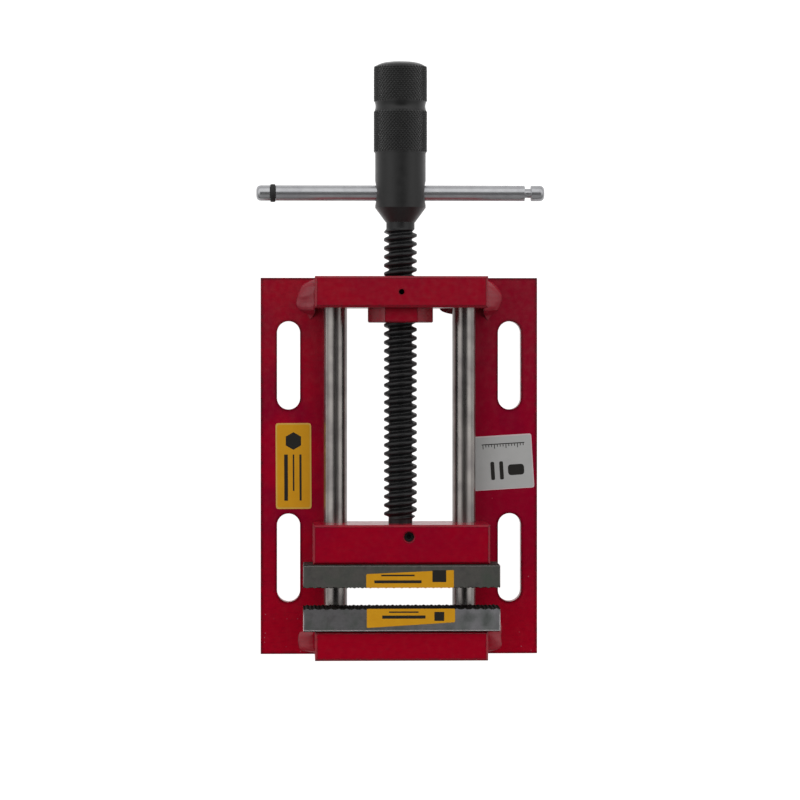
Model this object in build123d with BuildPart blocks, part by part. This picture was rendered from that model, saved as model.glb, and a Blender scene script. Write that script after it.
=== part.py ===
from build123d import *
import math
import os

# A drill press vise. Two slotted flanges carry two upright blocks, welded across them, and a
# jaw slides between the blocks on two rods, driven by a lead screw with a tommy bar.
# X runs along the screw towards the handle and Z is up. The origin is the centre of the slot
# pattern, on the underside. All sizes are in millimetres.
os.makedirs("parts", exist_ok=True)

# Flanges
base_width = 144.0
flange_width = 40.0
flange_thickness = 8.0
flange_edge = 0.6
slot_width = 12.0
slot_length = 46.0
slot_spacing_x = 100.0
slot_spacing_y = 115.0
front_overhang = 50.0
rear_overhang = 45.5

# Upright blocks
block_height = 40.0
block_edge = 1.0
end_block_width = 88.0
crossbar_thickness = 16.0
fixed_block_thickness = 15.0
moving_block_width = 90.0
moving_block_thickness = 20.0
slide_clearance = 0.4

# Guide rods
rod_diameter = 12.0
rod_spacing = 66.5
rod_height = 9.5
rod_end_chamfer = 0.5
rod_fit = 0.02
rod_running_clearance = 0.1

# Hand-laid welds: the blocks' sides to the flanges, and a tack under the crossbar
rear_weld_leg = 9.0
rear_weld_length = 18.5
front_left_weld_leg = 8.5
front_left_weld_length = 12.5
front_right_weld_leg = 9.5
front_right_weld_length = 18.0
weld_inset = 0.6
weld_end_chamfer = 2.5
tack_leg_y = 11.0
tack_leg_z = 5.0
tack_length = 9.0
tack_out = 3.4
# A bead's crowned face from toe to toe, as shares of its two legs
bead_face = ((1.0, 0.0), (0.8, 0.44), (0.44, 0.8), (0.0, 1.0))

# Jaw plates and the screws that hold them
jaw_width = 100.0
jaw_plate_height = 25.0
jaw_plate_thickness = 12.0
jaw_plate_rise = 2.0
jaw_plate_edge = 0.5
jaw_opening = 10.0
serration_pitch = 4.0
serration_depth = 0.8
serration_stock = 1.0
plate_screw_spacing = 60.0
plate_screw_diameter = 6.0
plate_screw_length = 20.0
plate_screw_head_diameter = 11.5
plate_screw_recess = 1.5
plate_screw_hole_clearance = 0.2
plate_screw_socket = 4.0
plate_screw_socket_depth = 2.3
tapped_hole_spare = 2.0
thread_fit = 0.02

# Lead screw
screw_height = 20.0
screw_diameter = 17.0
thread_length = 149.5
thread_run_out = 2.0
front_neck_length = 2.0
rear_neck_length = 3.0
rear_neck_diameter = 14.5
spigot_diameter = 12.3
spigot_length = 14.0
spigot_end_play = 0.05
spigot_groove_diameter = 6.5
spigot_groove_width = 4.2
spigot_chamfer = 0.8
screw_running_clearance = 0.1
tenon_diameter = 12.0
tenon_length = 24.0
tenon_fit = 0.02

# Nut, pressed through the crossbar
nut_across_flats = 29.0
nut_head_length = 7.5
nut_edge = 0.5
nut_shank_diameter = 24.0
nut_fit = 0.02
oil_hole_diameter = 2.8

# Grub screw that keeps the spigot in the moving block
retainer_diameter = 5.0
retainer_from_rear = 6.1
retainer_offset = 3.8
retainer_sunk = 3.0
retainer_dog_diameter = 3.5
retainer_dog_length = 3.4
retainer_tip_gap = 0.7
retainer_socket = 2.5
retainer_socket_depth = 2.4
retainer_mouth = 0.5

# Handle hub
hub_cone_length = 7.5
hub_nose_diameter = 15.0
hub_barrel_diameter = 26.4
hub_barrel_length = 28.1
knurl_diameter = 27.4
front_knurl_length = 22.0
rear_knurl_length = 21.1
waist_length = 4.0
waist_diameter = 26.2
knurl_edge = 0.6
hub_crown_length = 3.0
hub_shoulder_length = 1.2
hub_shoulder_diameter = 24.8
hub_end_face_diameter = 17.0
hub_socket_spare = 0.5

# Tommy bar and its stop ring
bar_diameter = 8.0
bar_length = 148.0
bar_from_nose = 15.0
bar_end_chamfer = 1.2
bar_clearance = 0.15
bar_mouth_diameter = 13.0
bar_mouth_angle = 120
ring_groove_inset = 8.5
ring_groove_width = 3.2
ring_groove_depth = 1.6
ring_thickness = 2.2
ring_width = 2.8
ring_edge = 0.6
ring_fit = 0.02

# Places that follow from the sizes
front_x = -slot_spacing_x / 2 - front_overhang
rear_x = slot_spacing_x / 2 + rear_overhang
flange_length = rear_x - front_x
flange_y = (base_width - flange_width) / 2
flange_inner_y = base_width / 2 - flange_width
block_top = flange_thickness + block_height
rod_z = flange_thickness + rod_height
screw_z = flange_thickness + screw_height
crossbar_front = rear_x - crossbar_thickness
fixed_block_rear = front_x + fixed_block_thickness
fixed_face = fixed_block_rear + jaw_plate_thickness
moving_face = fixed_face + jaw_opening
moving_block_front = moving_face + jaw_plate_thickness
moving_block_rear = moving_block_front + moving_block_thickness
jaw_plate_top = block_top + jaw_plate_rise
plate_screw_z = jaw_plate_top - jaw_plate_height / 2
nut_face = crossbar_front - nut_head_length
retainer_x = moving_block_rear - retainer_from_rear
retainer_top = block_top - retainer_sunk
thread_start = moving_block_rear + front_neck_length
thread_end = thread_start + thread_length
hub_x = thread_end + rear_neck_length
bar_x = hub_x + bar_from_nose
screw_line = Axis((0, 0, screw_z), (1, 0, 0))
screw_profile_plane = Plane(origin=(0, 0, screw_z), x_dir=(1, 0, 0), z_dir=(0, -1, 0))


def hexagon_radius(across_flats):
    """Centre to corner of a hexagon of this size across its flats."""
    return across_flats / math.sqrt(3)


def flange(side):
    """Slotted flat bar under one side of the vise; side is +1 for left and -1 for right."""
    with BuildPart() as bar:
        with BuildSketch():
            with Locations(((front_x + rear_x) / 2, side * flange_y)):
                Rectangle(flange_length, flange_width)
            with Locations((0, side * slot_spacing_y / 2)):
                with GridLocations(slot_spacing_x, 0, 2, 1):
                    SlotOverall(slot_length, slot_width, mode=Mode.SUBTRACT)
        extrude(amount=flange_thickness)
        bar_sides = bar.faces().filter_by(Axis.Y).sort_by(Axis.Y)
        long_edges = bar_sides[0].edges() + bar_sides[-1].edges()
        chamfer(long_edges.filter_by(Axis.X), flange_edge)
    return bar.part


def upright_block(front, rear, width, bottom, rod_hole_radius):
    """Block across the flanges, with its top edges broken and the two rod bores."""
    with BuildPart() as block:
        with BuildSketch(Plane.XY.offset(bottom)):
            with Locations(((front + rear) / 2, 0)):
                Rectangle(rear - front, width)
        extrude(amount=block_top - bottom)
        chamfer(block.edges().group_by(Axis.Z)[-1], block_edge)
        with BuildSketch(Plane.YZ.offset(front)):
            with Locations((0, rod_z)):
                with GridLocations(rod_spacing, 0, 2, 1):
                    Circle(rod_hole_radius)
        extrude(amount=rear - front, mode=Mode.SUBTRACT)
    return block.part


def cut_tapped_holes(plate_side, depth):
    """Blind holes for the jaw plate screws, drilled into a block from its plate side."""
    with Locations(plate_side):
        with GridLocations(0, plate_screw_spacing, 1, 2):
            Hole(plate_screw_diameter / 2 + thread_fit, depth=depth)


def face_plane(face_x, facing):
    """Plane on an upright face at the height of the plate screws, its local Y across the vise."""
    return Plane(origin=(face_x, 0, plate_screw_z), x_dir=(0, 0, 1), z_dir=(facing, 0, 0))


def plate_screw(face_x, facing, side):
    """Countersunk socket screw, its head sunk below the serrations."""
    head_x = face_x - facing * plate_screw_recess
    head_radius = plate_screw_head_diameter / 2 - thread_fit
    shank_radius = plate_screw_diameter / 2
    axis_y = side * plate_screw_spacing / 2
    tip_x = head_x - facing * plate_screw_length
    head_depth = facing * (head_radius - shank_radius)
    with BuildPart() as screw:
        profile_plane = Plane(
            origin=(0, axis_y, plate_screw_z), x_dir=(1, 0, 0), z_dir=(0, -1, 0)
        )
        with BuildSketch(profile_plane):
            Polygon(
                (head_x, 0),
                (head_x, head_radius),
                (head_x - head_depth, shank_radius),
                (tip_x, shank_radius),
                (tip_x, 0),
            )
        revolve(axis=Axis((0, axis_y, plate_screw_z), (1, 0, 0)))
        with BuildSketch(Plane.YZ.offset(head_x)):
            with Locations((axis_y, plate_screw_z)):
                RegularPolygon(hexagon_radius(plate_screw_socket), 6)
        extrude(amount=-facing * plate_screw_socket_depth, mode=Mode.SUBTRACT)
    return screw.part


def weld_bead(corner_y, corner_z, out_y, out_z, low_x, high_x, leg_y, leg_z):
    """Fillet weld along X in a corner, its crowned face falling away at both ends."""
    face = [
        (corner_y + out_y * leg_y * share_y, corner_z + out_z * leg_z * share_z)
        for share_y, share_z in bead_face
    ]
    with BuildPart() as bead:
        with BuildSketch(Plane.YZ.offset(low_x)):
            Polygon((corner_y, corner_z), *face, align=None)
        extrude(amount=high_x - low_x)
        end_edges = bead.edges().filter_by(Plane.YZ)
        on_walls = end_edges.filter_by(Axis.Y) + end_edges.filter_by(Axis.Z)
        chamfer([edge for edge in end_edges if edge not in on_walls], weld_end_chamfer)
    return bead.part


def corner_weld(side, low_x, high_x, leg):
    """Weld between a block's side and the flange under it."""
    return weld_bead(
        side * end_block_width / 2, flange_thickness, side, 1, low_x, high_x, leg, leg
    )


# Welded base
base_flange_left = flange(1)
base_flange_right = flange(-1)

crossbar_blank = upright_block(
    crossbar_front, rear_x, end_block_width, flange_thickness, rod_diameter / 2 + rod_fit
)
with BuildPart() as rear_crossbar:
    add(crossbar_blank)
    with BuildSketch(Plane.YZ.offset(crossbar_front)):
        with Locations((0, screw_z)):
            Circle(nut_shank_diameter / 2 + nut_fit)
    extrude(amount=crossbar_thickness, mode=Mode.SUBTRACT)
    with Locations(((crossbar_front + rear_x) / 2, 0, block_top)):
        Hole(oil_hole_diameter / 2, depth=block_top - screw_z)

fixed_blank = upright_block(
    front_x, fixed_block_rear, end_block_width, flange_thickness, rod_diameter / 2 + rod_fit
)
tapped_depth = plate_screw_recess + plate_screw_length + tapped_hole_spare - jaw_plate_thickness
with BuildPart() as fixed_jaw_block:
    add(fixed_blank)
    cut_tapped_holes(face_plane(fixed_block_rear, 1), tapped_depth)

with BuildPart() as guide_rods:
    with BuildSketch(Plane.YZ.offset(front_x)):
        with Locations((0, rod_z)):
            with GridLocations(rod_spacing, 0, 2, 1):
                Circle(rod_diameter / 2)
    extrude(amount=flange_length)
    chamfer(guide_rods.edges().filter_by(GeomType.CIRCLE), rod_end_chamfer)
guide_rod_right, guide_rod_left = guide_rods.part.solids().sort_by(Axis.Y)

with BuildPart() as lead_nut:
    with BuildSketch(Plane.YZ.offset(nut_face)):
        with Locations((0, screw_z)):
            RegularPolygon(hexagon_radius(nut_across_flats), 6)
    extrude(amount=nut_head_length)
    chamfer(lead_nut.edges().group_by(Axis.X)[0], nut_edge)
    with BuildSketch(Plane.YZ.offset(crossbar_front)):
        with Locations((0, screw_z)):
            Circle(nut_shank_diameter / 2)
    extrude(amount=crossbar_thickness)
    with BuildSketch(Plane.YZ.offset(nut_face)):
        with Locations((0, screw_z)):
            Circle(screw_diameter / 2 + screw_running_clearance)
    extrude(amount=nut_head_length + crossbar_thickness, mode=Mode.SUBTRACT)
    with Locations(((crossbar_front + rear_x) / 2, 0, block_top)):
        Hole(oil_hole_diameter / 2, depth=block_top - screw_z)

rear_weld_end = rear_x - weld_inset
front_weld_start = front_x + weld_inset
weld_rear_left = corner_weld(1, rear_weld_end - rear_weld_length, rear_weld_end, rear_weld_leg)
weld_rear_right = corner_weld(-1, rear_weld_end - rear_weld_length, rear_weld_end, rear_weld_leg)
weld_front_left = corner_weld(
    1, front_weld_start, front_weld_start + front_left_weld_length, front_left_weld_leg
)
weld_front_right = corner_weld(
    -1, front_weld_start, front_weld_start + front_right_weld_length, front_right_weld_leg
)
tack_tip = crossbar_front - tack_out
weld_inner_right = weld_bead(
    -flange_inner_y, flange_thickness, 1, -1,
    tack_tip, tack_tip + tack_length, tack_leg_y, tack_leg_z,
)

# Jaws
groove_reach = (jaw_width + jaw_plate_height) / 2
groove_spacing = serration_pitch / math.sqrt(2)
groove_pairs = math.ceil(groove_reach / groove_spacing)
groove_span = groove_pairs * groove_spacing
sawtooth = [(-serration_stock, groove_span), (-serration_stock, -groove_span)]
for tooth in range(-groove_pairs, groove_pairs):
    sawtooth.append((0, tooth * groove_spacing))
    sawtooth.append((serration_depth, (tooth + 0.5) * groove_spacing))
sawtooth.append((0, groove_span))
with BuildPart() as fixed_jaw_plate:
    with BuildSketch(Plane.YZ.offset(fixed_block_rear)):
        with Locations((0, plate_screw_z)):
            Rectangle(jaw_width, jaw_plate_height)
    extrude(amount=jaw_plate_thickness + serration_stock / 2)
    chamfer(fixed_jaw_plate.edges().group_by(Axis.X)[0], jaw_plate_edge)
    # The sawtooth cutter passes both ways and leaves pyramids, their points on the jaw's face
    for lean in (-1, 1):
        groove_plane = Plane(
            origin=(fixed_face, 0, plate_screw_z), x_dir=(-1, 0, 0), z_dir=(0, 1, lean)
        )
        with BuildSketch(groove_plane):
            Polygon(*sawtooth, align=None)
        extrude(amount=groove_reach, both=True, mode=Mode.SUBTRACT)
    with Locations(face_plane(fixed_face, 1)):
        with GridLocations(0, plate_screw_spacing, 1, 2):
            CounterSinkHole(
                plate_screw_diameter / 2 + plate_screw_hole_clearance,
                plate_screw_head_diameter / 2 + plate_screw_recess,
                counter_sink_angle=90,
            )

with BuildPart() as moving_jaw_plate:
    add(fixed_jaw_plate.part)
    mirror(about=Plane.YZ.offset(fixed_face + jaw_opening / 2), mode=Mode.REPLACE)

fixed_plate_screw_left = plate_screw(fixed_face, 1, 1)
fixed_plate_screw_right = plate_screw(fixed_face, 1, -1)
moving_plate_screw_left = plate_screw(moving_face, -1, 1)
moving_plate_screw_right = plate_screw(moving_face, -1, -1)

moving_blank = upright_block(
    moving_block_front,
    moving_block_rear,
    moving_block_width,
    flange_thickness + slide_clearance,
    rod_diameter / 2 + rod_running_clearance,
)
with BuildPart() as moving_jaw_block:
    add(moving_blank)
    cut_tapped_holes(face_plane(moving_block_front, -1), tapped_depth)
    with BuildSketch(Plane.YZ.offset(moving_block_rear)):
        with Locations((0, screw_z)):
            Circle(spigot_diameter / 2 + screw_running_clearance)
    extrude(amount=-spigot_length - spigot_end_play, mode=Mode.SUBTRACT)
    with Locations((retainer_x, -retainer_offset, block_top)):
        CounterSinkHole(
            retainer_diameter / 2 + thread_fit,
            retainer_diameter / 2 + retainer_mouth,
            depth=block_top - screw_z,
            counter_sink_angle=90,
        )

# The dog's tip stops short of the groove's floor, where the floor is highest under it
dog_reach_y = retainer_offset - retainer_dog_diameter / 2
groove_floor_z = math.sqrt((spigot_groove_diameter / 2) ** 2 - dog_reach_y**2)
retainer_tip = screw_z + groove_floor_z + retainer_tip_gap
with BuildPart() as screw_retainer:
    with BuildSketch(Plane.XY.offset(retainer_tip)):
        with Locations((retainer_x, -retainer_offset)):
            Circle(retainer_dog_diameter / 2)
    extrude(amount=retainer_dog_length)
    with BuildSketch(Plane.XY.offset(retainer_tip + retainer_dog_length)):
        with Locations((retainer_x, -retainer_offset)):
            Circle(retainer_diameter / 2)
    extrude(amount=retainer_top - retainer_tip - retainer_dog_length)
    with BuildSketch(Plane.XY.offset(retainer_top)):
        with Locations((retainer_x, -retainer_offset)):
            RegularPolygon(hexagon_radius(retainer_socket), 6)
    extrude(amount=-retainer_socket_depth, mode=Mode.SUBTRACT)

# Lead screw, turned about its own line: spigot, groove, neck, thread crests, neck, tenon
spigot_end = moving_block_rear - spigot_length
spigot_radius = spigot_diameter / 2
groove_radius = spigot_groove_diameter / 2
crest_radius = screw_diameter / 2
rear_neck_radius = rear_neck_diameter / 2
tenon_radius = tenon_diameter / 2
tenon_end = hub_x + tenon_length
with BuildPart() as lead_screw:
    with BuildSketch(screw_profile_plane):
        Polygon(
            (spigot_end, 0),
            (spigot_end, spigot_radius - spigot_chamfer),
            (spigot_end + spigot_chamfer, spigot_radius),
            (retainer_x - spigot_groove_width / 2, spigot_radius),
            (retainer_x - spigot_groove_width / 2, groove_radius),
            (retainer_x + spigot_groove_width / 2, groove_radius),
            (retainer_x + spigot_groove_width / 2, spigot_radius),
            (thread_start, spigot_radius),
            (thread_start + thread_run_out, crest_radius),
            (thread_end - thread_run_out, crest_radius),
            (thread_end, rear_neck_radius),
            (hub_x, rear_neck_radius),
            (hub_x, tenon_radius),
            (tenon_end - spigot_chamfer, tenon_radius),
            (tenon_end, tenon_radius - spigot_chamfer),
            (tenon_end, 0),
        )
    revolve(axis=screw_line)
    with BuildSketch(Plane(origin=(bar_x, 0, screw_z), z_dir=(0, 1, 0))):
        Circle(bar_diameter / 2 + bar_clearance)
    extrude(amount=tenon_diameter, both=True, mode=Mode.SUBTRACT)

# Handle hub: cone, plain barrel, two knurled bands with a waist between them
barrel_start = hub_x + hub_cone_length
front_knurl_start = barrel_start + hub_barrel_length
waist_start = front_knurl_start + front_knurl_length
rear_knurl_start = waist_start + waist_length
hub_end = rear_knurl_start + rear_knurl_length
barrel_radius = hub_barrel_diameter / 2
knurl_radius = knurl_diameter / 2
waist_radius = waist_diameter / 2
socket_end = tenon_end + hub_socket_spare
socket_radius = tenon_radius + tenon_fit
with BuildPart() as handle_hub:
    with BuildSketch(screw_profile_plane):
        Polygon(
            (hub_x, socket_radius),
            (hub_x, hub_nose_diameter / 2),
            (barrel_start, barrel_radius),
            (front_knurl_start, barrel_radius),
            (front_knurl_start, knurl_radius - knurl_edge),
            (front_knurl_start + knurl_edge, knurl_radius),
            (waist_start - knurl_edge, knurl_radius),
            (waist_start, knurl_radius - knurl_edge),
            (waist_start, waist_radius),
            (rear_knurl_start, waist_radius),
            (rear_knurl_start, knurl_radius - knurl_edge),
            (rear_knurl_start + knurl_edge, knurl_radius),
            (hub_end - hub_crown_length, knurl_radius),
            (hub_end - hub_shoulder_length, hub_shoulder_diameter / 2),
            (hub_end, hub_end_face_diameter / 2),
            (hub_end, 0),
            (socket_end, 0),
            (socket_end, socket_radius),
        )
    revolve(axis=screw_line)
    for side in (-1, 1):
        mouth = Plane(
            origin=(bar_x, side * barrel_radius, screw_z), x_dir=(1, 0, 0), z_dir=(0, side, 0)
        )
        with Locations(mouth):
            CounterSinkHole(
                bar_diameter / 2 + bar_clearance,
                bar_mouth_diameter / 2,
                depth=hub_barrel_diameter,
                counter_sink_angle=bar_mouth_angle,
            )

# Tommy bar across the hub, with a groove near each end, and the ring in the left groove
bar_line = Axis((bar_x, 0, screw_z), (0, 1, 0))
bar_radius = bar_diameter / 2
ring_groove_y = bar_length / 2 - ring_groove_inset
ring_floor = bar_radius - ring_groove_depth
with BuildPart() as tommy_bar:
    with BuildSketch(Plane.XZ.offset(-bar_length / 2)):
        with Locations((bar_x, screw_z)):
            Circle(bar_radius)
    extrude(amount=bar_length)
    chamfer(tommy_bar.edges().filter_by(GeomType.CIRCLE), bar_end_chamfer)
    for side in (-1, 1):
        with BuildSketch(Plane.XZ.offset(-side * ring_groove_y)):
            with Locations((bar_x, screw_z)):
                Circle(bar_diameter)
                Circle(ring_floor, mode=Mode.SUBTRACT)
        extrude(amount=ring_groove_width / 2, both=True, mode=Mode.SUBTRACT)

ring_centre_radius = ring_floor + ring_fit + ring_thickness / 2
with BuildPart() as tommy_bar_ring:
    with BuildSketch(Plane.XY.offset(screw_z)) as ring_section:
        with Locations((bar_x + ring_centre_radius, ring_groove_y)):
            Rectangle(ring_thickness, ring_width)
        chamfer(ring_section.vertices().group_by(Axis.X)[-1], ring_edge)
    revolve(axis=bar_line)

pieces = {
    "base_flange_left": base_flange_left,
    "base_flange_right": base_flange_right,
    "rear_crossbar": rear_crossbar.part,
    "fixed_jaw_block": fixed_jaw_block.part,
    "guide_rod_left": guide_rod_left,
    "guide_rod_right": guide_rod_right,
    "lead_nut": lead_nut.part,
    "weld_rear_left": weld_rear_left,
    "weld_rear_right": weld_rear_right,
    "weld_front_left": weld_front_left,
    "weld_front_right": weld_front_right,
    "weld_inner_right": weld_inner_right,
    "fixed_jaw_plate": fixed_jaw_plate.part,
    "fixed_plate_screw_left": fixed_plate_screw_left,
    "fixed_plate_screw_right": fixed_plate_screw_right,
    "moving_jaw_block": moving_jaw_block.part,
    "moving_jaw_plate": moving_jaw_plate.part,
    "moving_plate_screw_left": moving_plate_screw_left,
    "moving_plate_screw_right": moving_plate_screw_right,
    "screw_retainer": screw_retainer.part,
    "lead_screw": lead_screw.part,
    "handle_hub": handle_hub.part,
    "tommy_bar": tommy_bar.part,
    "tommy_bar_ring": tommy_bar_ring.part,
}
for name, piece in pieces.items():
    piece.label = name
    export_step(piece, f"parts/{name}.step")
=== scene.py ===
import math

import bmesh
import bpy
from mathutils import Matrix, Vector, noise


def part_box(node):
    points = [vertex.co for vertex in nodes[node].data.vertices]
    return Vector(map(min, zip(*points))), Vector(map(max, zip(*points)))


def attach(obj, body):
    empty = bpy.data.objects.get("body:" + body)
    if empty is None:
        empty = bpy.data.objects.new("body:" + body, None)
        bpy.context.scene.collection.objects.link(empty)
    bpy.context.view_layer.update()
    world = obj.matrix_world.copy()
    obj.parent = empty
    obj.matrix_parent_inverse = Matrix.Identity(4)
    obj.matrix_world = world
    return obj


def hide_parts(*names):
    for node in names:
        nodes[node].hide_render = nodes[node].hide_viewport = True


# A drill press vise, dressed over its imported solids: paint, ground and milled steel, a real
# thread and knurl, hand-laid welds and plain stickers. Sizes here are in millimetres and become
# metres in mm(); X runs along the screw towards the handle, and Z is up.
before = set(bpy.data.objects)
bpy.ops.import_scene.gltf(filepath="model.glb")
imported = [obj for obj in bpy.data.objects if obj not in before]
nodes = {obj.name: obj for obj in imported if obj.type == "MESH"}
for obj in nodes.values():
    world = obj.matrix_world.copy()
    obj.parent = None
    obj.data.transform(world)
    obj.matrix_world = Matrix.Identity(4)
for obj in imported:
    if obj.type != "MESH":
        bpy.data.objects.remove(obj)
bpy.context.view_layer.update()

SCREW_Z = 28.0
SPIGOT_START = -45.0
SPIGOT_RADIUS = 6.15
GROOVE_START = -39.2
GROOVE_END = -35.0
GROOVE_RADIUS = 3.25
THREAD_START = -29.0
THREAD_END = 120.5
THREAD_PITCH = 4.4
THREAD_CREST = 17.0 / 2
THREAD_ROOT = 12.0 / 2
NECK_RADIUS = 14.5 / 2
TENON_RADIUS = 6.0
TENON_END = 147.5
SHAFT_CHAMFER = 0.8
HUB_X = 123.5
HUB_END = 206.2
SOCKET_RADIUS = 6.02
SOCKET_END = 148.0
BARREL_RADIUS = 26.0 / 2
KNURL_RADIUS = 27.4 / 2
KNURL_DEPTH = 0.44
CROWN_LENGTH = 3.8
CROWN_DEPTH = 8.6
END_DOME = 0.3
BAR_X = 138.5
BAR_HOLE = 8.3 / 2
BAR_RADIUS = 4.0
BAR_GROOVE_RADIUS = 2.4
ROD_CHAMFER = 0.5
# The flange's top and the tops of the films over it, for the sticker and for the label, and the
# jaw plates' top with the sticker's and the print's
STICKER_LEVELS = (8.0, 8.1, 8.13, 8.15)
LABEL_LEVELS = (8.0, 8.12, 8.15, 8.17)
PLATE_LEVELS = (50.0, 50.1, 50.12)
# Counts, not lengths
ROUND_STEPS = 96
ROLL_STEPS = 2


def mm(*lengths):
    """Millimetres to metres, as one number or as a vector."""
    metres = [length * 0.001 for length in lengths]
    return metres[0] if len(metres) == 1 else Vector(metres)


def linear(srgb_hex):
    """sRGB hex colour to linear RGBA."""
    shares = [int(srgb_hex[start:start + 2], 16) / 255 for start in (1, 3, 5)]
    return (*[s / 12.92 if s <= 0.04045 else ((s + 0.055) / 1.055) ** 2.4 for s in shares], 1.0)


def add(tree, kind, inputs=None, **settings):
    """Adds a node. Each of its inputs takes a value, a socket to be linked from, or a node, which
    stands for its first live output."""
    node = tree.nodes.new(kind)
    for name, value in settings.items():
        setattr(node, name, value)
    for socket, value in (inputs or {}).items():
        if isinstance(value, bpy.types.Node):
            value = next(output for output in value.outputs if output.enabled)
        if isinstance(value, bpy.types.NodeSocket):
            tree.links.new(value, node.inputs[socket])
        else:
            node.inputs[socket].default_value = value
    return node


# Input places of the Mix node, whose names repeat for each kind of data
SHARE, COLOUR_A, COLOUR_B = 0, 6, 7


def blank_finish(name):
    """A material with an empty tree, and the piece's own coordinates, which are in metres."""
    material = bpy.data.materials.new(name)
    material.use_nodes = True
    tree = material.node_tree
    tree.nodes.clear()
    return material, tree, add(tree, "ShaderNodeTexCoord").outputs["Object"]


def shade(tree, inputs):
    """Ends a material with its shader."""
    shader = add(tree, "ShaderNodeBsdfPrincipled", inputs)
    add(tree, "ShaderNodeOutputMaterial", {"Surface": shader})


def worn_edge(tree, reach, low, high):
    """From 0 on a flat to 1 on an edge, found by how far a rounded normal leans from the real
    one."""
    rounded = add(tree, "ShaderNodeBevel", {"Radius": mm(reach)}, samples=4)
    real = add(tree, "ShaderNodeNewGeometry")
    match = add(tree, "ShaderNodeVectorMath", {
        0: rounded, 1: real.outputs["True Normal"],
    }, operation="DOT_PRODUCT")
    return add(tree, "ShaderNodeMapRange", {
        "Value": match, "From Min": 1 - low, "From Max": 1 - high,
    })


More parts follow.
